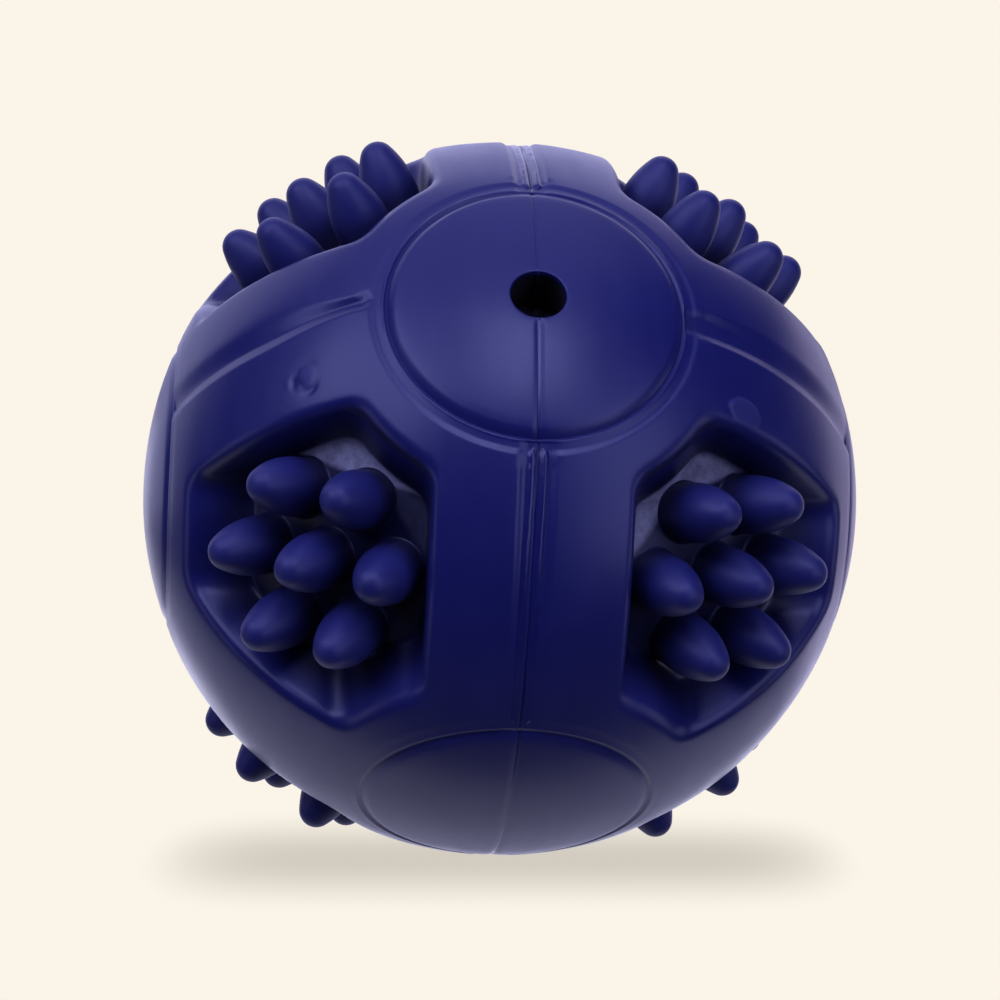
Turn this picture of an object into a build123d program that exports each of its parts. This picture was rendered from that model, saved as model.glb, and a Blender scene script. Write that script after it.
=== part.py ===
from build123d import *
from math import asin, cos, degrees, radians, sin, sqrt
import os

os.makedirs("parts", exist_ok=True)

# Ball wall
ball_radius = 40.0
wall_thickness = 12.0
treat_hole_radius = 2.8

# Discs, at the ends of the three axes of the ball
disc_radius = 15.2
disc_groove_width = 0.25
disc_groove_foot_width = 0.15
disc_groove_depth = 1.25
disc_shoulder_width = 1.7
disc_shoulder_drop = 0.22
disc_rim_round = 1.1

# Bands, which join neighbouring discs; those that lie along the seam or lead to the hole's axis are grooved
band_half_width = 10.2
band_groove_depth = 0.55
seam_groove_width = 3.8
seam_groove_slope = 0.5
side_groove_width = 2.8
side_groove_slope = 1.0

# Pockets between three discs and three bands
pocket_depth = 5.6
pocket_ring_radius = 20.4
pocket_corner_round = 2.0
pocket_corner_wall_share = 1.1
pocket_foot_round = 0.5
pocket_foot_corner_share = 0.8
pocket_rim_round = 0.8

# Studs, one in the middle of each pocket and six round it
stud_height = 8.3
stud_radius = 3.1
stud_tip_radius = 1.95
stud_straight_share = 0.24
stud_foot_round = 0.45
stud_foot_sink = 0.06
stud_root_depth = 0.8
stud_spacing_angle = 12.7
stud_ring_count = 6

# Round mark left by the moulding gate on the upper side bands
gate_mark_radius = 1.6
gate_mark_depth = 0.2
gate_mark_shares = (0.566, -0.178, 0.805)

# Bond between the halves
bond_thickness = 0.3
bead_width = 1.8
bead_height = 0.35

# Roll of the moulding axes about X, which turns the treat hole up and forwards
rest_roll_angle = 45.0

pickup_slack = 0.02
overrun = 6.0

chamber_radius = ball_radius - wall_thickness
floor_radius = ball_radius - pocket_depth
reach = ball_radius + overrun
quarter = 90.0
diagonal = Axis((0, 0, 0), (1, 1, 1))
third = 120.0


def quarter_turns(shape):
    return [shape.rotate(Axis.X, quarter * turn) for turn in range(4)]


def three_ways(shape):
    return [shape.rotate(diagonal, third * turn) for turn in range(3)]


def on_sphere(off_axis, radius):
    return sqrt(radius**2 - off_axis**2)


def off_axis_distance(point, direction):
    return (point - direction * point.dot(direction)).length


def ring_corner_edges(block):
    """Edges where a band wall meets a ring wall, which run along one of the axes."""
    picked = []
    for axis in (Axis.X, Axis.Y, Axis.Z):
        for edge in block.edges().filter_by(axis):
            if off_axis_distance(edge.center(), axis.direction) < pocket_ring_radius + pickup_slack:
                picked.append(edge)
    return picked


def edges_at_radius(shape, radius):
    return [e for e in shape.edges() if abs((e @ 0.5).length - radius) < pickup_slack]


def corner_round():
    """Corner round of a pocket, limited so that the two on a band wall stay apart at the floor."""
    corner = on_sphere(band_half_width, pocket_ring_radius)
    middle = on_sphere(band_half_width, floor_radius) / sqrt(2)
    return min(pocket_corner_round, pocket_corner_wall_share * (middle - corner))


def foot_round():
    """Round at the foot of a pocket wall, limited so that it turns inside the corner rounds."""
    return min(pocket_foot_round, pocket_foot_corner_share * corner_round())


def pocket_cutter():
    """Hollow of one pocket: outside three bands and three disc rings, above the pocket floor."""
    span = reach - band_half_width
    middle = band_half_width + span / 2
    block = Pos(middle, middle, middle) * Box(span, span, span)
    ring = Rot(0, quarter, 0) * Cylinder(pocket_ring_radius, 2 * reach + overrun)
    for cutter in three_ways(ring):
        block = block - cutter
    block = block - Sphere(floor_radius)
    block = fillet(ring_corner_edges(block), corner_round())
    return fillet(edges_at_radius(block, floor_radius), foot_round())


def disc_groove_cutter():
    """Narrow ring slot round the disc on the X axis, with a sloping shoulder outside it."""
    lip = disc_radius + disc_groove_width
    edge = lip + disc_shoulder_width
    foot_height = on_sphere(disc_radius, ball_radius) - disc_groove_depth
    lip_height = on_sphere(lip, ball_radius) - disc_shoulder_drop
    edge_height = on_sphere(edge, ball_radius)
    slope = (edge_height - lip_height) / disc_shoulder_width
    points = [
        (foot_height, disc_radius),
        (foot_height, disc_radius + disc_groove_foot_width),
        (lip_height, lip),
        (edge_height + slope * disc_groove_width, edge + disc_groove_width),
        (reach, edge + disc_groove_width),
        (reach, disc_radius),
    ]
    return revolve(make_face(Polyline(*points, close=True)), Axis.X)


def band_sector(points, start_off_axis):
    """Turn a profile in the X-Y plane about X, from near one disc to near the next."""
    start = degrees(asin(start_off_axis / ball_radius))
    face = make_face(Polyline(*points, close=True)).rotate(Axis.X, start)
    return revolve(face, Axis.X, quarter - 2 * start)


def band_groove_cutter(width, slope):
    foot = ball_radius - band_groove_depth
    half = width / 2
    points = [
        (-half + slope, foot),
        (half - slope, foot),
        (half, ball_radius),
        (half, reach),
        (-half, reach),
        (-half, ball_radius),
    ]
    return band_sector(points, disc_radius + disc_groove_width / 2)


def stud():
    """Acorn of revolution along Z: a straight foot, an ogive side and a round tip."""
    straight = floor_radius + stud_height * stud_straight_share
    tip_centre = floor_radius + stud_height - stud_tip_radius
    rise = tip_centre - straight
    bow = (stud_radius**2 - stud_tip_radius**2 + rise**2) / (2 * (stud_radius - stud_tip_radius))
    turn = asin(rise / (bow - stud_tip_radius))
    bow_centre = stud_radius - bow

    def on_bow(angle):
        return (bow_centre + bow * cos(angle), 0, straight + bow * sin(angle))

    def on_tip(angle):
        return (stud_tip_radius * cos(angle), 0, tip_centre + stud_tip_radius * sin(angle))

    top = radians(quarter)
    foot_radius = stud_radius + stud_foot_round
    foot_height = on_sphere(foot_radius, floor_radius) - stud_foot_sink
    root = floor_radius - stud_root_depth
    hollow = stud_foot_round * (1 - cos(top / 2))
    lines = [
        Line((0, 0, root), (foot_radius, 0, root)),
        Line((foot_radius, 0, root), (foot_radius, 0, foot_height)),
        ThreePointArc(
            (foot_radius, 0, foot_height),
            (stud_radius + hollow, 0, foot_height + hollow),
            (stud_radius, 0, foot_height + stud_foot_round),
        ),
        Line((stud_radius, 0, foot_height + stud_foot_round), (stud_radius, 0, straight)),
        ThreePointArc(on_bow(0), on_bow(turn / 2), on_bow(turn)),
        ThreePointArc(on_tip(turn), on_tip((turn + top) / 2), on_tip(top)),
        Line(on_tip(top), (0, 0, root)),
    ]
    return revolve(make_face(lines), Axis.Z)


def stud_directions():
    """Middle of the pocket, then a ring about it that starts towards the X axis."""
    centre = Vector(1, 1, 1).normalized()
    towards_x = (Vector(1, 0, 0) - centre * centre.X).normalized()
    lean = radians(stud_spacing_angle)
    first = centre * cos(lean) + towards_x * sin(lean)
    ring = [first.rotate(diagonal, k * 4 * quarter / stud_ring_count) for k in range(stud_ring_count)]
    return [centre] + ring


def stud_cluster():
    shape = stud()
    return [Plane(origin=(0, 0, 0), z_dir=direction) * shape for direction in stud_directions()]


def disc_axis_distances(point):
    return [off_axis_distance(point, axis.direction) for axis in (Axis.X, Axis.Y, Axis.Z)]


def pocket_rim_edges(shape):
    inside = band_half_width - pickup_slack
    rims = []
    for edge in edges_at_radius(shape, ball_radius):
        middle = edge @ 0.5
        if min(abs(middle.X), abs(middle.Y), abs(middle.Z)) > inside:
            rims.append(edge)
    return rims


def disc_rim_edges(shape):
    rims = []
    for edge in edges_at_radius(shape, ball_radius):
        if min(abs(d - disc_radius) for d in disc_axis_distances(edge @ 0.5)) < pickup_slack:
            rims.append(edge)
    return rims


def treat_hole_cutter():
    return Pos(0, 0, reach / 2) * Cylinder(treat_hole_radius, reach)


def gate_mark_cutter():
    direction = Vector(*gate_mark_shares).normalized()
    height = on_sphere(gate_mark_radius, ball_radius) - gate_mark_depth
    return Plane(origin=direction * (height + overrun / 2), z_dir=direction) * Cylinder(gate_mark_radius, overrun)


def ring_of_discs(shape):
    """A cutter on the X axis, repeated on the four discs that the seam crosses."""
    return quarter_turns(shape.rotate(Axis.Z, quarter))


def half_wall():
    """Plain half of the hollow ball, turned about X, with its flat edge on the bond."""
    edge = bond_thickness / 2
    turn = radians(quarter / 2)
    outside = (ball_radius * cos(turn), ball_radius * sin(turn))
    inside = (chamber_radius * cos(turn), chamber_radius * sin(turn))
    lines = [
        ThreePointArc((edge, on_sphere(edge, ball_radius)), outside, (ball_radius, 0)),
        Line((ball_radius, 0), (chamber_radius, 0)),
        ThreePointArc((chamber_radius, 0), inside, (edge, on_sphere(edge, chamber_radius))),
        Line((edge, on_sphere(edge, chamber_radius)), (edge, on_sphere(edge, ball_radius))),
    ]
    return revolve(make_face(lines), Axis.X)


def half_shell():
    """Moulding on the +X side of the bond."""
    shell = half_wall()
    for pocket in quarter_turns(pocket_cutter()):
        shell = shell - pocket
    shell = fillet(pocket_rim_edges(shell), pocket_rim_round)
    groove = disc_groove_cutter()
    for cutter in [groove] + ring_of_discs(groove):
        shell = shell - cutter
    shell = fillet(disc_rim_edges(shell), disc_rim_round)
    seam_groove = band_groove_cutter(seam_groove_width, seam_groove_slope)
    side_groove = band_groove_cutter(side_groove_width, side_groove_slope).rotate(diagonal, third)
    cutters = quarter_turns(seam_groove) + quarter_turns(side_groove)[::2]
    for cutter in cutters + [treat_hole_cutter(), gate_mark_cutter()]:
        shell = shell - cutter
    studs = []
    for one in stud_cluster():
        studs += quarter_turns(one)
    return shell.fuse(*studs)


def bead_profile():
    foot = ball_radius - band_groove_depth
    half = bead_width / 2
    arc = ThreePointArc((-half, foot, 0), (0, foot + bead_height, 0), (half, foot, 0))
    return make_face([arc, Line((half, foot, 0), (-half, foot, 0))])


def seam_bond():
    """Film between the halves, which swells into a bead where it stands in the band grooves."""
    half = bond_thickness / 2
    ring = [(-half, chamber_radius), (half, chamber_radius), (half, ball_radius), (-half, ball_radius)]
    film = revolve(make_face(Polyline(*ring, close=True)), Axis.X)
    for cutter in ring_of_discs(disc_groove_cutter()) + [treat_hole_cutter()]:
        film = film - cutter
    crown = ball_radius - band_groove_depth + bead_height / 2
    clear = [
        (-bond_thickness, crown),
        (bond_thickness, crown),
        (bond_thickness, reach),
        (-bond_thickness, reach),
    ]
    for cutter in quarter_turns(band_sector(clear, disc_radius + disc_groove_width / 2)):
        film = film - cutter
    start = degrees(asin((disc_radius + disc_groove_width + disc_shoulder_width) / ball_radius))
    bead = revolve(bead_profile().rotate(Axis.X, start), Axis.X, quarter - 2 * start)
    return film.fuse(*quarter_turns(bead))


right = half_shell().rotate(Axis.X, rest_roll_angle)
left = mirror(right, about=Plane.YZ)
bond = seam_bond().rotate(Axis.X, rest_roll_angle)

export_step(right, "parts/right_half_shell.step")
export_step(left, "parts/left_half_shell.step")
export_step(bond, "parts/seam_bond.step")
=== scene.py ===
from math import asin, cos, pi, radians, sin, sqrt

import bmesh
import bpy
import numpy as np
from mathutils import Matrix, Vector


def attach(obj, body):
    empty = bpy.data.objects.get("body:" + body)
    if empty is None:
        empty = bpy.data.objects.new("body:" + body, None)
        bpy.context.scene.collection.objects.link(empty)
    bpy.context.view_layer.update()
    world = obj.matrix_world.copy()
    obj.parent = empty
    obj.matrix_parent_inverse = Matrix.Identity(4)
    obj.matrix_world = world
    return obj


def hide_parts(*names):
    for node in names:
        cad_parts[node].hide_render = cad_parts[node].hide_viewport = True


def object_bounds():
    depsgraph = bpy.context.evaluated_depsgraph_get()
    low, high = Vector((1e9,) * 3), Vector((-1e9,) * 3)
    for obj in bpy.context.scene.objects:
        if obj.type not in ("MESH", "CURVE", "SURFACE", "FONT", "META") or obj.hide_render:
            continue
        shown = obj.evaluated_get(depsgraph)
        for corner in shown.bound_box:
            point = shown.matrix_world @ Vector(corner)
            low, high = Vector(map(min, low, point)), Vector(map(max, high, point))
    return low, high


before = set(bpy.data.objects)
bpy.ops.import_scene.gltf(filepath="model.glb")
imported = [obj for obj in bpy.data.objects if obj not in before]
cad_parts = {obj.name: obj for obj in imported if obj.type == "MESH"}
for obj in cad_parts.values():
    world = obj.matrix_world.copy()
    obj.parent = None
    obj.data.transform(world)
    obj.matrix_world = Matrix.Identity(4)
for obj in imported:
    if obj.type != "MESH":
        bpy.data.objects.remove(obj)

cad_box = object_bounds()

# Lengths are in millimetres until a mesh is made. Shapes are worked out in the moulding axes: the first
# runs across the seam, the third points out of the treat hole. The ball then lies rolled by 45 degrees.
MM = 0.001
ROLL = radians(45)
MOULD = np.array([[1, 0, 0], [0, cos(ROLL), -sin(ROLL)], [0, sin(ROLL), cos(ROLL)]])

# Ball, treat hole and pockets
BALL = 40.0
CHAMBER = 28.0
HOLE = 2.8
HOLE_ROUND = 0.18
HOLE_RAGGED = 0.05
HOLE_WALL_TOP = BALL - 0.6
BAND_HALF_WIDTH = 10.2
RING_RADIUS = 20.4
FLOOR = 34.4
POCKET_MIDDLE = np.full(3, 1 / sqrt(3))
POCKET_CORNER_ROUND = 1.6
POCKET_FOOT_ROUND = 0.45
POCKET_RIM_ROUND = 1.15

# Seam: half the gap between the halves, and how far from the seam the rubber is drawn back for it
GAP = 0.14
GAP_FADE = 4.0

# Disc edge, by arc length from the middle of the disc
RIM_START = 14.5
RIM_WALL = 15.75
LIP = 15.95
RING_FOOT = 16.8
RING_END = 17.6
DISC_PATCH = 18.2

# Disc edge, depths and heights: crisp on the two discs of the hole's axis, soft on the others
RIM_DEPTH = 0.48
SOFT_RIM_DEPTH = 0.6 * RIM_DEPTH
RING_DROP = 0.2
SOFT_RING_DROP = 0.03
BURR = 0.04
BURR_RAGGED = 0.05
SOFT_BURR = 0.03
BURR_MIDDLE = LIP + 0.12
BURR_WIDTH = 0.14
SOFT_WALL_END = LIP + 0.3

# Seam groove: depth, half widths at its floor and its edge, and how it fades down the front band
SEAM_GROOVE_DEPTH = 0.34
SEAM_GROOVE_FLOOR = 1.15
SEAM_GROOVE_EDGE = 1.95
SEAM_GROOVE_LOSS = 0.6
SEAM_GROOVE_FADE = (26.0, 40.0)

# Side grooves: distances from the hole over which they change; where grooves begin outside a disc, and how
# much the shallower of groove and ring adds to the deeper
SIDE_GROOVE_CHANGE = (19.0, 31.0)
GROOVE_BEGINS = (15.6, 16.2)
SHORT_GROOVE_BEGINS = (16.2, 18.4)
GROOVE_IN_RING_SHARE = 0.3

# Seam line across the discs, above and below, and the waviness of the moulding
SEAM_EASE_ABOVE = 0.03
SEAM_EASE_BELOW = 0.1
SEAM_EASE_WIDTH = 0.3
MOULDING_WAVE = 0.035

# Studs: one in the middle of each pocket and six round it
STUD_HEIGHT = 8.3
STUD = 3.1
STUD_TIP = 1.95
STUD_STRAIGHT_SHARE = 0.24
STUD_FLARE = 0.55
STUD_SINK = 0.08
STUD_ROOT = 1.0
STUD_LEAN = radians(12.7)

# Gate marks on the upper side bands, and the hollow in the shell under each
LEFT_MARK = np.array([-0.576, -0.159, 0.802])
RIGHT_MARK = np.array([0.546, -0.209, 0.811])
MARK_SIZE = 4.0
MARK_BORDER = 2.8
MARK_LIFT = 0.006
MARK_SINK = 0.012
MARK_WOBBLE = 0.12
MARK_FULL_RISE = 0.1
MARK_MATTE = 1.7
BED_DEPTH = 0.4
BED_FLOOR = 1.4
BED_EDGE = 2.6

# Flash in the grooves: half width, its wander to the sides, its ridges left and right of the slit, and the
# film of the bond elsewhere
FLASH_WIDTH = 1.1
FLASH_OVERLAP = 0.02
FLASH_WANDER = 0.12
FLASH_BEGINS = (LIP + 0.2, LIP + 1.4)
FLASH_FADE = (29.0, 37.0)
FLASH_LOSS = 0.75
RIDGE_PLACES = (0.58, 0.76)
RIDGE_WIDTHS = (0.26, 0.3)
RIDGE_LEAST = 0.03
RIDGE_MOST = 0.34
RIDGE_WANDER = 0.06
SLIT_DEPTH = 0.2
SLIT_WIDTH = 0.16
FLASH_ROOT = 0.6
FLASH_LIFT = 0.02
FLASH_EDGE_SINK = 0.12
FLASH_LEAN = 0.25
FLASH_LEAN_MIDDLE = 31.0
FLASH_LEAN_REACH = 9.0
FILM_SINK = 0.03

random = np.random.default_rng(7)


def step(x, low, high):
    """Smooth step from 0 at low to 1 at high: three squares less two cubes of the share of the way."""
    t = np.clip((x - low) / (high - low), 0, 1)
    return t * t * (3 - 2 * t)


def hump(x, width):
    """Bell of height 1: e to the minus square of x over the width."""
    return np.exp(-((x / width) ** 2))


def soft_min(a, b, reach):
    """Lesser of a and b, rounded off where they are closer than the reach."""
    h = np.clip(0.5 + 0.5 * (b - a) / reach, 0, 1)
    return b + (a - b) * h - reach * h * (1 - h)


def waves(count, shortest, longest):
    """Random plane waves: unit directions over wavelengths between the two lengths, and phases."""
    ways = random.normal(size=(count, 3))
    ways /= np.linalg.norm(ways, axis=1, keepdims=True)
    lengths = random.uniform(shortest, longest, (count, 1))
    return 2 * pi * ways / lengths, random.uniform(0, 2 * pi, count)


def ripple(points, wave_set):
    """Mean of the sines of the plane waves at the points."""
    ways, phases = wave_set
    return np.sin(points @ ways.T + phases).mean(axis=-1)


moulding_waves = waves(10, 9.0, 30.0)
edge_waves = waves(12, 1.2, 5.0)
flash_waves = waves(14, 0.8, 3.0)
flash_slow_waves = waves(8, 6.0, 20.0)
flash_right_waves = waves(14, 0.9, 3.5)


def rim_drop(s, depth):
    """Depth of a disc's rim at arc length s from its middle: it bends down ever more steeply to a crease."""
    return depth * np.clip((s - RIM_START) / (RIM_WALL - RIM_START), 0, 1) ** 1.5


def ring_drop(s, depth, burr):
    """Depth of the ring round a disc: a little low, with a raised burr at its lip, then a slope up to the
    bands."""
    return depth * (1 - step(s, RING_FOOT, RING_END)) - burr * hump(s - BURR_MIDDLE, BURR_WIDTH)


def seam_groove(x, front):
    """Depth of the flat-bottomed groove along the seam at distance x from it, which fades with the distance
    from the hole down the front band."""
    fade = 1 - SEAM_GROOVE_LOSS * step(front, *SEAM_GROOVE_FADE)
    return SEAM_GROOVE_DEPTH * fade * (1 - step(x, SEAM_GROOVE_FLOOR, SEAM_GROOVE_EDGE))


def side_groove(y, along, left):
    """Depth of the groove along a side band at height y above its middle and at a distance from the hole: a
    straight lower strip that faces up, a flat bottom on the right only, and an upper wall. Away from the
    hole's disc the upper wall widens and softens and the flat closes up."""
    far = step(along, *SIDE_GROOVE_CHANGE)
    strip = np.where(left, 1.3, 1.0 + 0.3 * far)
    middle = np.where(left, 0.5 - 1.15 * far, -1.5)
    flat = np.where(left, 0, 1.9 * (1 - far))
    upper = np.where(left, 0.75, 0.85) + 2.4 * far
    depth = np.where(left, 0.5 - 0.1 * far, 0.45)
    rise = y + strip / 2 - middle
    climb = np.clip((rise - strip - flat) / upper, 0, 1)
    climb = climb + far * (climb * climb * (3 - 2 * climb) - climb)
    return depth * np.minimum(np.clip(rise / strip, 0, 1), 1 - climb)


def groove_drop(d, a, nearest, s):
    """Depth of the grooves along the bands: the seam's, and those of the side bands. They end at the discs'
    rings, and the left side groove stops short of the hole's disc."""
    across = a.argmin(axis=-1)
    height = BALL * np.arcsin(np.clip(d[..., 1], -1, 1))
    along = BALL * np.arccos(np.clip(a[..., 2], 0, 1))
    front = np.where(d[..., 1] < 0, BALL * np.arccos(np.clip(d[..., 2], -1, 1)), 0)
    groove = np.where(across == 0, seam_groove(BALL * a[..., 0], front), 0)
    groove = np.where(across == 1, side_groove(height, along, d[..., 0] < 0), groove)
    stops_short = (nearest == 2) & (across == 1) & (d[..., 2] > 0) & (d[..., 0] < 0)
    return groove * np.where(stops_short, step(s, *SHORT_GROOVE_BEGINS), step(s, *GROOVE_BEGINS))


def drop(d):
    """Depth of the moulded surface below the plain ball in unit directions d: disc edges, the grooves along
    the bands, the eased edge of the seam on the discs, and slight moulding waviness."""
    a = np.abs(d)
    nearest = a.argmax(axis=-1)
    s = BALL * np.arccos(np.clip(a.max(axis=-1), 0, 1))
    groove = groove_drop(d, a, nearest, s)
    crisp = nearest == 2
    burr = np.where(crisp, BURR + BURR_RAGGED * ripple(BALL * d, edge_waves), SOFT_BURR)
    ring = ring_drop(s, np.where(crisp, RING_DROP, SOFT_RING_DROP), burr)
    level = np.maximum(ring, groove) + GROOVE_IN_RING_SHARE * np.minimum(ring, groove)
    steep = np.clip((LIP - s) / (LIP - RIM_WALL), 0, 1)
    wall = np.where(crisp, steep, 1 - step(s, RIM_WALL, SOFT_WALL_END))
    rim = np.where(crisp, RIM_DEPTH, SOFT_RIM_DEPTH)
    depth = np.where(s < RIM_WALL, rim_drop(s, rim), level + wall * (rim - level))
    on_disc = (s < RIM_WALL) & (nearest > 0)
    eased = np.where(d[..., 1] > 0, SEAM_EASE_ABOVE, SEAM_EASE_BELOW)
    depth = depth + np.where(on_disc, eased * hump(BALL * a[..., 0], SEAM_EASE_WIDTH), 0)
    return depth + MOULDING_WAVE * ripple(BALL * d, moulding_waves)


def mark_bed(d):
    """Shallow hollow under each gate mark, which the mark's own patch fills."""
    mark = np.where(d[..., :1] < 0, LEFT_MARK, RIGHT_MARK)
    return BED_DEPTH * (1 - step(BALL * np.linalg.norm(d - mark, axis=-1), BED_FLOOR, BED_EDGE))


def pocket_walls(p):
    """Signed distance into a pocket from its band walls and ring walls, with rounded corners."""
    a = np.abs(p)
    squares = a * a
    rings = np.sqrt(squares.sum(axis=-1) - squares.max(axis=-1)) - RING_RADIUS
    return soft_min(a.min(axis=-1) - BAND_HALF_WIDTH, rings, POCKET_CORNER_ROUND)


def halve(function, low, high, rounds=30):
    """Where a falling function crosses zero between low and high, by repeated halving of whole arrays."""
    for _ in range(rounds):
        middle = (low + high) / 2
        inside = function(middle) > 0
        low = np.where(inside, middle, low)
        high = np.where(inside, high, middle)
    return (low + high) / 2


def surface(d, bed=mark_bed):
    """Points where rays along d leave the rubber: the ball less its drops, joined with a soft edge to the
    pocket, which is bounded by its walls and its round floor."""
    top = BALL - drop(d) - bed(d)

    def solid(r):
        """How deep in the rubber the points at radius r lie."""
        p = d * r[..., None]
        hollow = soft_min(pocket_walls(p), r - FLOOR, POCKET_FOOT_ROUND)
        return soft_min(top - r, -hollow, POCKET_RIM_ROUND)

    lowest = np.full(d.shape[:-1], FLOOR - 1.0)
    highest = np.full(d.shape[:-1], BALL + 0.6)
    return d * halve(solid, lowest, highest)[..., None]


def quads(rows, columns, closed=False):
    """Corner numbers of the faces of a grid of rows times columns, joined round if closed."""
    row = np.arange(rows - 1)[:, None] * columns
    here = np.arange(columns if closed else columns - 1)[None, :]
    there = (here + 1) % columns
    corners = [row + here, row + there, row + columns + there, row + columns + here]
    return np.stack(corners, axis=-1).reshape(-1, 4)


def fan(count, pole, closed=True):
    """Corner numbers of the triangles between the first points, one after another, and a pole."""
    here = np.arange(count if closed else count - 1)
    there = (here + 1) % count
    return np.stack([here, there, np.full_like(here, pole)], axis=-1)


class Sheet:
    """Collects points and faces of one piece."""

    def __init__(self):
        self.points = []
        self.faces = []
        self.count = 0

    def add(self, points, *faces):
        """Adds points, and faces that number them from nought."""
        for block in faces:
            self.faces += (block + self.count).tolist()
        self.points.append(points)
        self.count += len(points)

    def grid(self, points, closed=False):
        """Adds a grid of points, joined round if closed."""
        rows, columns = points.shape[:2]
        self.add(points.reshape(-1, 3), quads(rows, columns, closed))

    def capped_grid(self, points, pole, closed=True):
        """Adds a grid with its first row gathered to a pole, joined round if closed."""
        rows, columns = points.shape[:2]
        both = np.concatenate([points.reshape(-1, 3), pole[None, :]])
        self.add(both, quads(rows, columns, closed), fan(columns, rows * columns, closed))

    def lid(self, loop, pole):
        """Adds triangles from a closed loop of points to a pole."""
        self.add(np.concatenate([loop, pole[None, :]]), fan(len(loop), len(loop)))

    def piece(self, name, material, slot, matte=0.0):
        """Welds the points, turns the faces outwards and makes the object, with a note of how matte it is."""
        points = np.concatenate(self.points) @ MOULD.T * MM
        mesh = bpy.data.meshes.new(name)
        mesh.from_pydata(points.tolist(), [], self.faces)
        shape = bmesh.new()
        shape.from_mesh(mesh)
        bmesh.ops.remove_doubles(shape, verts=shape.verts, dist=2e-6)
        bmesh.ops.recalc_face_normals(shape, faces=shape.faces)
        shape.to_mesh(mesh)
        shape.free()
        mesh.polygons.foreach_set("use_smooth", np.ones(len(mesh.polygons), dtype=bool))
        dull = np.broadcast_to(np.float32(matte), len(mesh.vertices))
        mesh.attributes.new("matte", "FLOAT", "POINT").data.foreach_set("value", dull.copy())
        mesh.materials.append(material)
        made = bpy.data.objects.new(name, mesh)
        bpy.context.scene.collection.objects.link(made)
        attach(made, "root")
        return made


# Sampling shared by discs and pockets: azimuths crowd towards the band lines
ARC_STEPS = 20
BAND_STEPS = 20
eighth_azimuths = radians(45) * np.linspace(0, 1, ARC_STEPS + 1) ** 1.5
quarter_azimuths = np.concatenate([eighth_azimuths, pi / 2 - eighth_azimuths[-2::-1]])
half_azimuths = np.concatenate([quarter_azimuths[:-1], quarter_azimuths + pi / 2])
round_azimuths = np.concatenate([quarter_azimuths[:-1] + k * pi / 2 for k in range(4)])
disc_angle = DISC_PATCH / BALL

disc_rings = np.concatenate([
    [0.08, 0.25],
    np.linspace(0, RIM_START, 17)[1:],
    RIM_START + (RIM_WALL - RIM_START) * np.sin(np.linspace(0, pi / 2, 13))[1:],
    np.linspace(RIM_WALL, LIP, 4)[1:],
    LIP + np.array([0.03, 0.07, 0.12, 0.18, 0.25, 0.34, 0.45]),
    np.linspace(LIP + 0.6, DISC_PATCH, 14),
])
hole_disc_rings = np.concatenate([[3.25, 3.8, 4.5, 5.3], disc_rings[disc_rings > 6.0]])


def octant_edge():
    """Directions round the outer edge of one octant: an arc of each disc's patch, then a band line."""
    azimuth = quarter_azimuths[ARC_STEPS::-1]
    out = np.full_like(azimuth, cos(disc_angle))
    arc = np.stack([out, sin(disc_angle) * np.cos(azimuth), sin(disc_angle) * np.sin(azimuth)], axis=-1)
    along = np.linspace(disc_angle, pi / 4, BAND_STEPS + 1)[1:]
    line = np.stack([np.cos(along), np.sin(along), np.zeros_like(along)], axis=-1)
    sixth = np.concatenate([arc, line])
    third = np.concatenate([sixth, sixth[-2:0:-1][:, [1, 0, 2]]])
    return np.concatenate([third, third[:, [2, 0, 1]], third[:, [1, 2, 0]]])


def octant_directions():
    """Polar grid about the middle of a pocket: rings over floor, foot, wall and rim, then out to the edge."""
    edge = octant_edge()
    sideways = edge - (edge @ POCKET_MIDDLE)[:, None] * POCKET_MIDDLE
    sideways /= np.linalg.norm(sideways, axis=1, keepdims=True)
    outer = np.arccos(edge @ POCKET_MIDDLE)

    def at(angle):
        """Directions at angles from the middle of the pocket towards the edge."""
        return np.cos(angle)[..., None] * POCKET_MIDDLE + np.sin(angle)[..., None] * sideways

    rim = halve(lambda angle: pocket_walls(BALL * at(angle)), np.zeros_like(outer), outer)
    foot = halve(lambda angle: pocket_walls(FLOOR * at(angle)), np.zeros_like(outer), outer)
    wall = rim - foot
    beside = radians(1.5)
    marks = [0 * rim, foot - beside, foot + 0.2 * wall, rim - 0.2 * wall, rim + beside]
    marks += [marks[-1] + 0.72 * (outer - marks[-1]), outer]
    counts = [9, 8, 8, 9, 9, 15]
    rings = []
    for inner_mark, outer_mark, count in zip(marks, marks[1:], counts):
        shares = np.arange(1, count + 1)[:, None] / count
        rings.append(inner_mark + shares * (outer_mark - inner_mark))
    return at(np.concatenate(rings))


def octant_signs(side):
    """Signs of the three axes in the four octants of one half."""
    return [np.array([side, b, c]) for b in (1, -1) for c in (1, -1)]


def disc_axes(axis, sign):
    """Turns local disc directions (along the disc's axis, then the two others) into moulding axes."""
    order = np.roll(np.eye(3), axis, axis=1)
    order[0] *= sign
    return order


def disc_points(axes, rings, azimuth):
    """Points of a disc, sunk by its drops, on rings at arc lengths from its middle and azimuths round it."""
    s = rings[:, None] / BALL
    turn = azimuth[None, :]
    local = [np.cos(s) + 0 * turn, np.sin(s) * np.cos(turn), np.sin(s) * np.sin(turn)]
    d = np.stack(local, axis=-1) @ axes
    return d * (BALL - drop(d))[..., None]


def disc_middle(axes):
    """Point in the middle of a disc, sunk by its drop."""
    return axes[0] * (BALL - drop(axes[0][None, :]))


def part_halves(points, side):
    """Draws the points next to the seam back from it by half the gap, fading out farther from it."""
    fade = np.clip(1 - np.abs(points[..., 0]) / GAP_FADE, 0, 1)
    moved = points.copy()
    moved[..., 0] += side * GAP * fade
    return moved


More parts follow.
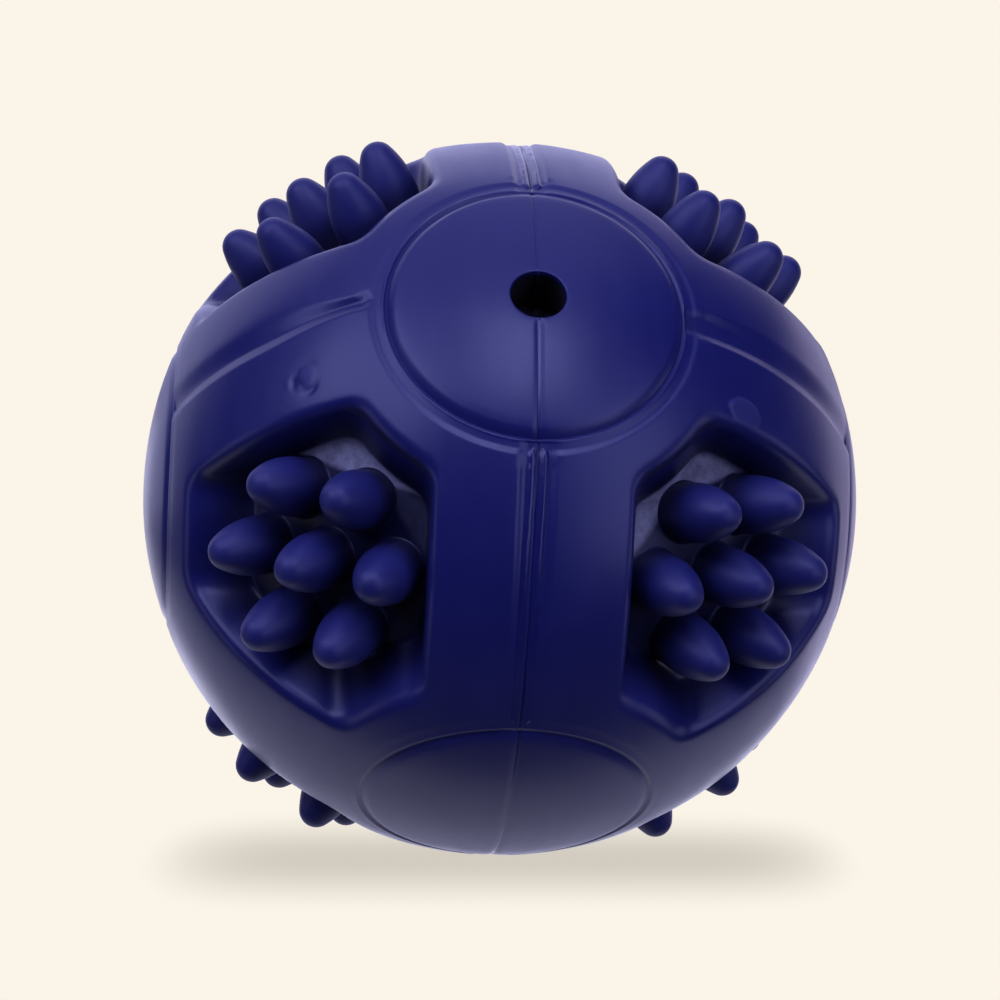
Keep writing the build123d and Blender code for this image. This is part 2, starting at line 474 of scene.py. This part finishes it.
def hole_edge(azimuth):
    """Radius of the treat hole round its axis, with the slight raggedness of a trimmed edge."""
    rounded = [HOLE * np.cos(azimuth), HOLE * np.sin(azimuth), np.full_like(azimuth, BALL)]
    return HOLE + HOLE_RAGGED * ripple(np.stack(rounded, axis=-1), edge_waves)


def hole_rows(axes, azimuth):
    """Rows of the treat hole from the chamber up its wall and over its rounded edge."""
    radius = hole_edge(azimuth)
    rows = []
    for height in np.linspace(sqrt(CHAMBER**2 - HOLE**2), HOLE_WALL_TOP, 8):
        rows.append((radius, np.full_like(azimuth, height)))
    for turn in np.linspace(0, pi / 2, 6)[1:]:
        out = radius + HOLE_ROUND * (1 - cos(turn))
        rows.append((out, np.sqrt(BALL**2 - out**2) - HOLE_ROUND * (1 - sin(turn))))
    points = [np.stack([h, r * np.cos(azimuth), r * np.sin(azimuth)], axis=-1) @ axes for r, h in rows]
    points = np.array(points)
    points[np.abs(points) < 1e-9] = 0
    return points


def shell_sheet(side):
    """Outside of one half: four octants, its own whole disc and four half discs, the treat hole's half, the
    flat bond face and the chamber."""
    sheet = Sheet()
    octant_grid = octant_directions()
    for signs in octant_signs(side):
        grid = part_halves(surface(octant_grid * signs), side)
        pole = surface((POCKET_MIDDLE * signs)[None, :])[0]
        sheet.capped_grid(grid, pole)
    axes = disc_axes(0, side)
    sheet.capped_grid(disc_points(axes, disc_rings, round_azimuths), disc_middle(axes))
    for axis, sign in ((1, 1), (1, -1), (2, 1), (2, -1)):
        axes = disc_axes(axis, sign)
        azimuth = half_azimuths - (pi / 2 if axis == 2 else 0)
        if side < 0:
            azimuth = azimuth + pi
        if axis == 2 and sign == 1:
            hole = hole_rows(axes, azimuth)
            rows = np.concatenate([hole, disc_points(axes, hole_disc_rings, azimuth)])
            sheet.grid(part_halves(rows, side))
        else:
            rows = part_halves(disc_points(axes, disc_rings, azimuth), side)
            sheet.capped_grid(rows, part_halves(disc_middle(axes), side), closed=False)
    close_shell(sheet, side, part_halves(hole[0], side))
    return sheet


def seam_outline(sheet, side):
    """Points of the shell that lie at the seam, in order: up one wall of the treat hole, round the ball and
    down the other wall."""
    points = np.concatenate(sheet.points)
    at_seam = points[np.abs(points[:, 0] - side * GAP) < 1e-6]
    single = np.unique(np.rint(at_seam * 1e4).astype(np.int64), axis=0, return_index=True)[1]
    at_seam = at_seam[single]
    in_hole = (np.abs(at_seam[:, 1]) < HOLE + 0.1) & (at_seam[:, 2] > 0)
    wall = at_seam[in_hole & (at_seam[:, 1] > 0)]
    wall = wall[np.argsort(wall[:, 2])]
    other_wall = at_seam[in_hole & (at_seam[:, 1] < 0)]
    other_wall = other_wall[np.argsort(-other_wall[:, 2])]
    rest = at_seam[~in_hole]
    rest = rest[np.argsort(np.arctan2(rest[:, 1], rest[:, 2]) % (2 * pi))]
    return np.concatenate([wall, rest, other_wall])


def close_shell(sheet, side, mouth):
    """Bond face from the outer edge at the seam in to the chamber, then the chamber's half sphere, whose
    meridians run to a pole on the axis across the seam. The mouth is the foot of the treat hole."""
    outer = seam_outline(sheet, side)
    angle = np.arctan2(outer[:, 1], outer[:, 2]) % (2 * pi)
    spacing = 1e-6 * np.arange(len(outer))
    lowest = asin(HOLE / CHAMBER) + 1e-4
    rising = np.maximum.accumulate(np.maximum(angle, lowest)) + spacing
    falling = 2 * pi - lowest - spacing[::-1]
    inner_angle = np.minimum(rising, falling)
    across = np.full_like(inner_angle, side * GAP)
    inner = np.stack([across, CHAMBER * np.sin(inner_angle), CHAMBER * np.cos(inner_angle)], axis=-1)
    inner[0] = outer[0]
    inner[-1] = outer[-1]
    sheet.grid(np.stack([outer, inner]))
    if np.linalg.norm(mouth[0] - inner[-1]) > np.linalg.norm(mouth[-1] - inner[-1]):
        mouth = mouth[::-1]
    loop = np.concatenate([inner, mouth[1:-1]])
    far = np.linalg.norm(loop, axis=1, keepdims=True)
    d = loop / far
    pole = np.array([side, 0, 0])
    spread = np.arccos(np.clip(d @ pole, -1, 1))[None, :, None]
    share = np.linspace(0, 1, 13)[:-1, None, None]
    rows = (np.sin((1 - share) * spread) * d + np.sin(share * spread) * pole) / np.sin(spread)
    sheet.capped_grid((rows * far)[::-1], pole * CHAMBER)


def stud_profile():
    """Half outline of a stud along its axis: flared foot, straight root, bowed side and round tip."""
    straight = FLOOR + STUD_STRAIGHT_SHARE * STUD_HEIGHT
    tip = FLOOR + STUD_HEIGHT - STUD_TIP
    rise = tip - straight
    bow = (STUD**2 - STUD_TIP**2 + rise**2) / (2 * (STUD - STUD_TIP))
    turn = asin(rise / (bow - STUD_TIP))
    foot_radius = STUD + STUD_FLARE
    foot = sqrt(FLOOR**2 - foot_radius**2) - STUD_SINK
    sweep = np.linspace(0, pi / 2, 6)
    side = np.linspace(0, turn, 13)
    cap = np.linspace(turn, pi / 2, 9)[1:-1]
    radius = [
        [foot_radius],
        STUD + STUD_FLARE * (1 - np.sin(sweep)),
        STUD - bow + bow * np.cos(side),
        STUD_TIP * np.cos(cap),
    ]
    height = [
        [foot - STUD_ROOT],
        foot + STUD_FLARE * (1 - np.cos(sweep)),
        straight + bow * np.sin(side),
        tip + STUD_TIP * np.sin(cap),
    ]
    return np.concatenate(radius), np.concatenate(height)


def studs_sheet(side):
    """Studs of one half, each a turned outline about a direction out of the ball."""
    sheet = Sheet()
    radius, height = stud_profile()
    turn = np.linspace(0, 2 * pi, 45)[:-1, None]
    first = np.array([2, -1, -1]) / sqrt(6)
    second = np.array([0, 1, -1]) / sqrt(2)
    lean_way = np.arange(6)[:, None] * pi / 3
    sideways = np.cos(lean_way) * first + np.sin(lean_way) * second
    ring = cos(STUD_LEAN) * POCKET_MIDDLE + sin(STUD_LEAN) * sideways
    for signs in octant_signs(side):
        for direction in np.concatenate([POCKET_MIDDLE[None, :], ring]) * signs:
            across = np.cross(direction, first)
            across /= np.linalg.norm(across)
            third = np.cross(direction, across)
            around = np.cos(turn) * across + np.sin(turn) * third
            rows = radius[::-1, None, None] * around + height[::-1, None, None] * direction
            sheet.capped_grid(rows, direction * (FLOOR + STUD_HEIGHT))
            sheet.lid(rows[-1], direction * height[0])
    return sheet


def seam_angles():
    """Angles round the seam from one side of the treat hole to the other, closer where the flash is."""
    start = asin(HOLE / BALL)
    angles = [np.linspace(start, 2 * pi - start, 700)]
    reach = pi / 4 - LIP / BALL
    disc_edge = pi / 4 - disc_rings[(disc_rings > 13.5) & (disc_rings < 17)] / BALL
    for k in range(4):
        centre = pi / 4 + k * pi / 2
        angles.append(centre + np.linspace(-reach, reach, 200))
        angles.append(centre + disc_edge)
        angles.append(centre - disc_edge)
    return np.unique(np.round(np.concatenate(angles), 5))


def flash_crown(d, level):
    """Outside of the bond in directions d round the seam: a thin film level with the discs, which swells in
    the grooves of the bands into two ragged ridges with a slit between them. They are lower away from the
    hole, and lean to the left low on the front band."""
    s = BALL * np.arccos(np.clip(np.abs(d).max(axis=-1), 0, 1))
    band = step(s, *FLASH_BEGINS)[:, None]
    ragged = ripple(BALL * d, flash_waves)[:, None]
    slow = ripple(BALL * d, flash_slow_waves)[:, None]
    right_ragged = ripple(BALL * d, flash_right_waves)[:, None]
    across = np.linspace(-1, 1, 25)[None, :]
    left = across < 0
    centre = band * FLASH_WANDER * slow
    x = across * (GAP + FLASH_OVERLAP + band * FLASH_WIDTH) + centre
    from_hole = BALL * np.arccos(np.clip(d[:, 2:3], -1, 1))
    strength = 1 - FLASH_LOSS * step(from_hole, *FLASH_FADE)
    middle = np.where(left, *RIDGE_PLACES) + RIDGE_WANDER * ragged
    left_height = 0.12 + 0.08 * slow + 0.06 * ragged
    right_height = 0.19 + 0.08 * slow + 0.1 * right_ragged
    height = np.clip(np.where(left, left_height, right_height), RIDGE_LEAST, RIDGE_MOST) * strength
    ridges = height * hump(np.abs(x - centre) - middle, np.where(left, *RIDGE_WIDTHS))
    ridges = ridges - SLIT_DEPTH * hump(x - centre, SLIT_WIDTH)
    sunk_edges = FLASH_EDGE_SINK * np.abs(across) ** 6
    r = level[:, None] + band * (ridges + FLASH_LIFT - sunk_edges) - (1 - band) * FILM_SINK
    lean = FLASH_LEAN * band * (d[:, 1:2] < 0) * hump(from_hole - FLASH_LEAN_MIDDLE, FLASH_LEAN_REACH)
    return np.stack([x - lean, r * d[:, 1:2], r * d[:, 2:3]], axis=-1)


def flash_sheet():
    """Bond between the halves: its crown with the flash, then its two flat sides down to the chamber."""
    angle = seam_angles()
    d = np.stack([0 * angle, np.sin(angle), np.cos(angle)], axis=-1)
    level = BALL - drop(d)
    root = level - FLASH_ROOT
    foot = np.full_like(level, CHAMBER)
    lines = [flash_crown(d, level)]
    for x, radius in ((GAP, root), (GAP, foot), (-GAP, foot), (-GAP, root)):
        line = np.stack([np.full_like(angle, x), radius * d[:, 1], radius * d[:, 2]], axis=-1)
        lines.append(line[:, None, :])
    rows = np.concatenate(lines, axis=1)
    sheet = Sheet()
    sheet.grid(rows, True)
    for row in (rows[0], rows[-1]):
        sheet.lid(row, row.mean(axis=0))
    return sheet


def lobe(turn, middle, spread):
    """Bell in the angle round a mark, with its middle and spread in degrees."""
    apart = (turn - radians(middle) + pi) % (2 * pi) - pi
    return hump(apart, radians(spread))


def nub_rise(x, y):
    """Left gate mark: a torn nub in a moat that is deepest at the lower right and the left, with a low bank
    outside it."""
    r = np.hypot(x, y)
    turn = np.arctan2(y, x)
    from_nub = np.hypot((x - 0.2) / (0.95 + 0.25 * y), (y - 0.3) / 1.2)
    nub = 0.12 * (1 - step(from_nub, 0.1, 1.2))
    moat = 0.11 * hump(r - 1.45, 0.42) * (lobe(turn, -58, 36) + 0.75 * lobe(turn, 184, 24))
    bank = 0.03 * hump(r - 2.1, 0.4) * (lobe(turn, 184, 24) + lobe(turn, 50, 16))
    return nub - moat + bank


def blister_rise(x, y):
    """Right gate mark: a low flat blister, higher at its upper left, with a small nub at its left end."""
    from_blister = np.hypot((x - 0.15) / 2.2, (y + 0.15 * x) / 1.7)
    flat = 0.1 * (1 - step(from_blister, 0.7, 1.06)) * (1 + 0.25 * y - 0.12 * x)
    return flat + 0.14 * hump(np.hypot(x + 1.75, y - 0.55), 0.4)


def mark_sheet(mark, rise):
    """Gate mark: a round patch on the band, raised by a function of the distances right and up from its
    middle, with its border sunk just under the band. Also gives how matte its points are, which is more the
    more they are raised."""
    direction = mark / np.linalg.norm(mark)
    right = np.array([1.0, 0, 0]) - direction[0] * direction
    right /= np.linalg.norm(right)
    up = np.cross(direction, right)
    turn = np.linspace(0, 2 * pi, 97)[:-1]
    radius = np.linspace(0, MARK_SIZE, 45)[1:, None]
    x = radius * np.cos(turn)
    y = radius * np.sin(turn)
    d = direction + (x[..., None] * right + y[..., None] * up) / BALL
    d /= np.linalg.norm(d, axis=-1, keepdims=True)
    wobble = MARK_WOBBLE * ripple(BALL * d, edge_waves)
    raised = rise(x + wobble, y - wobble)
    height = raised + MARK_LIFT - MARK_SINK * step(radius, MARK_BORDER, MARK_SIZE)
    level = np.linalg.norm(surface(d, lambda way: 0), axis=-1)
    middle_height = rise(np.zeros(1), np.zeros(1)) + MARK_LIFT
    middle = direction * (BALL - drop(direction[None, :]) + middle_height)
    sheet = Sheet()
    sheet.capped_grid(d * (level + height)[..., None], middle)
    return sheet, MARK_MATTE * np.append(np.clip(raised / MARK_FULL_RISE, 0, 1), 1.0)


class Wire:
    """A shader socket, so that node maths reads as arithmetic."""

    def __init__(self, tree, socket=None):
        self.tree = tree
        self.socket = socket

    def node(self, kind, inputs=(), out=0, **settings):
        """New node of a kind, with its settings and the values or links of its sockets."""
        made = self.tree.nodes.new(kind)
        for name, value in settings.items():
            setattr(made, name, value)
        for key, value in dict(inputs).items():
            if isinstance(value, Wire):
                self.tree.links.new(value.socket, made.inputs[key])
            else:
                made.inputs[key].default_value = value
        return Wire(self.tree, made.outputs[out])

    def math(self, operation, first, second):
        """Math node of an operation on two values."""
        return self.node("ShaderNodeMath", {0: first, 1: second}, operation=operation)

    def __add__(self, other):
        return self.math("ADD", self, other)

    def __sub__(self, other):
        return self.math("SUBTRACT", self, other)

    def __rsub__(self, other):
        return self.math("SUBTRACT", other, self)

    def __mul__(self, other):
        return self.math("MULTIPLY", self, other)

    def __truediv__(self, other):
        return self.math("DIVIDE", self, other)

    def __pow__(self, other):
        return self.math("POWER", self, other)

    __radd__ = __add__
    __rmul__ = __mul__

    def ramp(self, low, high):
        """Smooth step from 0 at low to 1 at high."""
        return self.node("ShaderNodeMapRange", {0: self, 1: low, 2: high}, interpolation_type="SMOOTHSTEP")

    def mix(self, first, second):
        """First colour where this is 0, second where it is 1."""
        return self.node("ShaderNodeMix", {0: self, 6: first, 7: second}, out=2, data_type="RGBA")

    def noise(self, scale, detail=2.0, roughness=0.5):
        """Noise between 0 and 1 at this place."""
        inputs = {"Vector": self, "Scale": scale, "Detail": detail, "Roughness": roughness}
        return self.node("ShaderNodeTexNoise", inputs)

    def along(self, way):
        """Distance of this place along a vector."""
        return self.node("ShaderNodeVectorMath", {0: self, 1: way}, out=1, operation="DOT_PRODUCT")


def new_material(name):
    """New material, with its place in the object's own axes and its shader."""
    material = bpy.data.materials.new(name)
    material.use_nodes = True
    tree = material.node_tree
    place = Wire(tree).node("ShaderNodeTexCoord", out=3)
    return material, place, tree.nodes["Principled BSDF"]


def feed(shader, **inputs):
    """Sets or links the shader's sockets, named with underscores for spaces."""
    for name, value in inputs.items():
        socket = shader.inputs[name.replace("_", " ")]
        if isinstance(value, Wire):
            value.tree.links.new(value.socket, socket)
        else:
            socket.default_value = value


# Soiling and painted light and shade on the rubber: colours of the dust with a painted pool of light on the
# pocket floors, of the painted shade deep in the pockets and of the painted shade in the treat hole, and
# where each begins and ends, in metres from the middle of the ball
DUST_AND_LIGHT_PATCH = (0.38, 0.38, 0.45, 1)
POCKET_PAINTED_SHADE = (0.003, 0.0035, 0.02, 1)
HOLE_PAINTED_SHADE = (0.001, 0.001, 0.002, 1)
DUST_AND_LIGHT_TOP = (0.0346, 0.0353)
SHADE_TOP = (0.0352, 0.0392)
SHADE_SHARE = 0.85
HOLE_TOP = (0.0392, 0.0396)
HOLE_REACH = (0.0325, 0.034)
OUTER_CORNER = (0.0176, 0.0184)
INNER_CORNER = (0.0178, 0.0188)
LEFT_TO_RIGHT = (-0.005, 0.005)


def rubber(name, base, hazed, rough, grain):
    """Satin moulded rubber: colour that clouds slightly, a dusty bloom, sparse specks and a fine skin. Studs
    are duller; pockets are darkened inside by painted shade, with dust and a painted pool of light in the
    corners next to a disc; and the treat hole is blackened by painted shade."""
    material, place, shader = new_material(name)
    matte = place.node("ShaderNodeAttribute", out=2, attribute_name="matte")

    # Bloom and specks
    cloud = place.noise(95.0, 3.0, 0.6)
    drawn_out = place.node("ShaderNodeMapping", {"Vector": place, "Scale": (1.0, 0.25, 0.25)})
    streak = drawn_out.noise(420.0, 4.0, 0.65)
    skin = place.noise(1500.0, 3.0, 0.6)
    cells = {"Vector": place, "Scale": 420.0, "Randomness": 1.0}
    spots = place.node("ShaderNodeTexVoronoi", cells, feature="F1")
    speck = (1 - spots.ramp(0.05, 0.09)) * place.noise(260.0).ramp(0.55, 0.7)
    haze = cloud.ramp(0.35, 0.75) * 0.4 + streak.ramp(0.45, 0.75) * 0.3 + speck * 0.6 + 0.5 * matte

    # Dust with a painted pool of light, painted shade in the pockets and painted shade in the treat hole, in
    #     # the moulding axes: the dust and painted light lie more in the outer corners of the left pockets
    #     and in the
    #     # inner corners of the right ones
    out = place.node("ShaderNodeVectorMath", {0: place}, out=1, operation="LENGTH")
    turned = place.node("ShaderNodeMapping", {"Vector": place, "Rotation": (-ROLL, 0, 0)})
    folded = place.node("ShaderNodeVectorMath", {0: turned}, operation="ABSOLUTE")
    right = turned.along((1, 0, 0)).ramp(*LEFT_TO_RIGHT)
    outer_corner = folded.along((0, -0.6, 1)).ramp(*OUTER_CORNER) * (1 - 0.4 * right)
    inner_corner = folded.along((-0.6, 0, 1)).ramp(*INNER_CORNER) * (0.12 + 0.7 * right)
    floor = (1 - out.ramp(*DUST_AND_LIGHT_TOP)) * (1 - matte)
    grit = place.noise(900.0, 5.0, 0.7)
    # Painted pool of light, partly dust: a lighter grey patch on the pocket floors, in the corners where
    # light falls
    dust_and_light_patch = floor * (outer_corner + inner_corner) * (0.5 + 0.6 * grit.ramp(0.25, 0.75))
    # Painted shade: the rubber is darker the deeper it lies in a pocket
    deep = SHADE_SHARE - SHADE_SHARE * out.ramp(*SHADE_TOP)
    # Painted shade: the wall of the treat hole is blackened, and made rougher
    hole_shade = (1 - out.ramp(*HOLE_TOP)) * turned.along((0, 0, 1)).ramp(*HOLE_REACH)

    tone = dust_and_light_patch.mix(deep.mix(haze.mix(base, hazed), POCKET_PAINTED_SHADE), DUST_AND_LIGHT_PATCH)
    roughness = rough + 0.15 * matte + 0.1 * (cloud - 0.5) + 0.12 * (streak - 0.5)
    bump = {"Strength": grain, "Distance": 0.00004, "Height": skin + 0.4 * streak}
    feed(
        shader,
        Base_Color=hole_shade.mix(tone, HOLE_PAINTED_SHADE),
        Roughness=roughness + 0.1 * dust_and_light_patch + 0.5 * hole_shade,
        Normal=place.node("ShaderNodeBump", bump),
    )
    return material


shell_rubber = rubber("shell_rubber", (0.0155, 0.0185, 0.122, 1), (0.022, 0.026, 0.145, 1), 0.34, 0.25)
flash_rubber = rubber("flash_rubber", (0.0145, 0.0175, 0.115, 1), (0.022, 0.026, 0.138, 1), 0.24, 0.35)

for name, side in (("left", -1), ("right", 1)):
    shell = shell_sheet(side).piece(name + "_shell", shell_rubber, "shell_rubber")
    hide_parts(name + "_half_shell")
    studs_sheet(side).piece(name + "_studs", shell_rubber, "shell_rubber", matte=1.0)
flash = flash_sheet().piece("seam_flash", flash_rubber, "bond_rubber")
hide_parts("seam_bond")
for name, mark, rise in (("left", LEFT_MARK, nub_rise), ("right", RIGHT_MARK, blister_rise)):
    sheet, film = mark_sheet(mark, rise)
    sheet.piece(name + "_gate_mark", shell_rubber, "shell_rubber", film)


# Studio: a pale glowing table, soft boxes in front and above, cards behind and at the sides, and lamps under
# the table for the light that a bright ground throws back
PAPER = (0.965, 0.904, 0.807, 1)
SHADE = (0.65, 0.6, 0.53, 1)
BLUE = (0.46, 0.475, 1.0)
COOL = (0.63, 0.62, 1.0)
GROUND = (0.68, 0.675, 1.0)
ROSY = (0.72, 0.65, 1.0)
PALE = (0.77, 0.75, 1.0)

# Table, in metres: its half width and the gap under the ball, then the middle of the shade on it and the half
# widths of the shade, to the right and away from the front
TABLE_HALF_WIDTH = 3.0
TABLE_GAP = 0.0002
SHADE_MIDDLE = (0.0033, -0.0084)
SHADE_HALF = (0.0418, 0.0166)


def table():
    """Wide flat square just under the ball, with a soft blunt oval of shade a little in front of its foot."""
    low = cad_box[0][2] - TABLE_GAP
    half = TABLE_HALF_WIDTH
    corners = [(-half, -half, low), (half, -half, low), (half, half, low), (-half, half, low)]
    mesh = bpy.data.meshes.new("table")
    mesh.from_pydata(corners, [], [(0, 1, 2, 3)])
    made = bpy.data.objects.new("table", mesh)
    bpy.context.scene.collection.objects.link(made)
    material, place, shader = new_material("pale_table")
    wide = (place.along((1, -0.08, 0)) - SHADE_MIDDLE[0]) / SHADE_HALF[0]
    deep = (place.along((-0.073, 1, 0)) - SHADE_MIDDLE[1]) / SHADE_HALF[1]
    out = ((wide * wide) ** 4.0 + deep * deep) ** 0.5
    feed(
        shader,
        Base_Color=(0, 0, 0, 1),
        Specular_IOR_Level=0.0,
        Roughness=0.9,
        Emission_Color=out.ramp(0.05, 1.0).mix(SHADE, PAPER),
        Emission_Strength=1.0,
    )
    mesh.materials.append(material)
    made.visible_diffuse = False
    made.visible_glossy = False
    made.visible_shadow = False


def put(name, data, right, up, back, place):
    """New object at a place, with its own axes along right, up and back."""
    made = bpy.data.objects.new(name, data)
    bpy.context.scene.collection.objects.link(made)
    matrix = np.eye(4)
    matrix[:3] = np.stack([right, up, back, place], axis=1)
    made.matrix_world = Matrix(matrix.tolist())
    return made


def soft_light(name, azimuth, height, size, power, colour):
    """Rectangular lamp a metre from the ball, at degrees round from the front and degrees above the table."""
    turn = radians(azimuth)
    rise = radians(height)
    back = np.array([sin(turn) * cos(rise), -cos(turn) * cos(rise), sin(rise)])
    right = np.cross([0, 0.01, 1], back)
    right /= np.linalg.norm(right)
    data = bpy.data.lights.new(name, "AREA")
    data.shape = "RECTANGLE"
    data.size, data.size_y = size
    data.energy = power
    data.color = colour
    made = put(name, data, right, np.cross(back, right), back, back)
    made.visible_camera = False


table()
soft_light("left_box", 299, 40, (0.85, 0.55), 5.1, BLUE)
soft_light("top_box", 3, 58, (0.46, 0.48), 3.7, BLUE)
soft_light("right_box", 38, 18, (0.6, 0.85), 3.2, BLUE)
soft_light("over_card", 212, 79, (1.2, 0.85), 2.8, BLUE)
soft_light("back_card", 180, 20, (0.75, 1.05), 4.2, COOL)
soft_light("back_left_card", 217, 15, (0.62, 1.15), 2.5, COOL)
soft_light("back_right_card", 139, -6, (0.62, 0.75), 1.8, ROSY)
soft_light("high_right_card", 147, 31, (0.34, 0.46), 0.75, ROSY)
soft_light("table_back_lamp", 180, -22, (0.9, 0.45), 2.4, PALE)
soft_light("table_lamp", 180, -60, (2.1, 1.5), 8.4, GROUND)
soft_light("table_front_lamp", 0, -60, (1.6, 0.9), 0.35, PALE)
soft_light("right_side_card", 84, -6, (0.34, 0.6), 0.65, COOL)
soft_light("left_side_card", 276, -10, (0.3, 0.6), 0.5, COOL)

world = bpy.data.worlds.new("room")
bpy.context.scene.world = world
world.use_nodes = True
world.node_tree.nodes["Background"].inputs["Color"].default_value = PAPER
world.cycles_visibility.diffuse = False
world.cycles_visibility.glossy = False

# Camera, worked out from the circles of the discs: its distance in ball radii, its focal length in widths of
# the picture, and how far it is moved right and up from the middle, in thousandths of a width
CAMERA_RIGHT = np.array([0.995, -0.0796, 0.0597])
CAMERA_UP = np.array([-0.0389, 0.2401, 0.9699])
CAMERA_DISTANCE = 7.658
CAMERA_FOCUS = 2.7067
CAMERA_SHIFT = (0.3, -1.2)
SENSOR = 36.0


def look():
    """Camera that faces the middle of the ball, moved a little sideways."""
    right = CAMERA_RIGHT / np.linalg.norm(CAMERA_RIGHT)
    back = np.cross(right, CAMERA_UP)
    back /= np.linalg.norm(back)
    up = np.cross(back, right)
    distance = CAMERA_DISTANCE * BALL * MM
    pixel = distance / (1000 * CAMERA_FOCUS)
    data = bpy.data.cameras.new("camera")
    data.sensor_width = SENSOR
    data.lens = SENSOR * CAMERA_FOCUS
    data.clip_start = 0.01
    data.clip_end = 20.0
    place = back * distance + (right * CAMERA_SHIFT[0] + up * CAMERA_SHIFT[1]) * pixel
    bpy.context.scene.camera = put("camera", data, right, up, back, place)


look()
bpy.context.scene.view_settings.view_transform = "Standard"
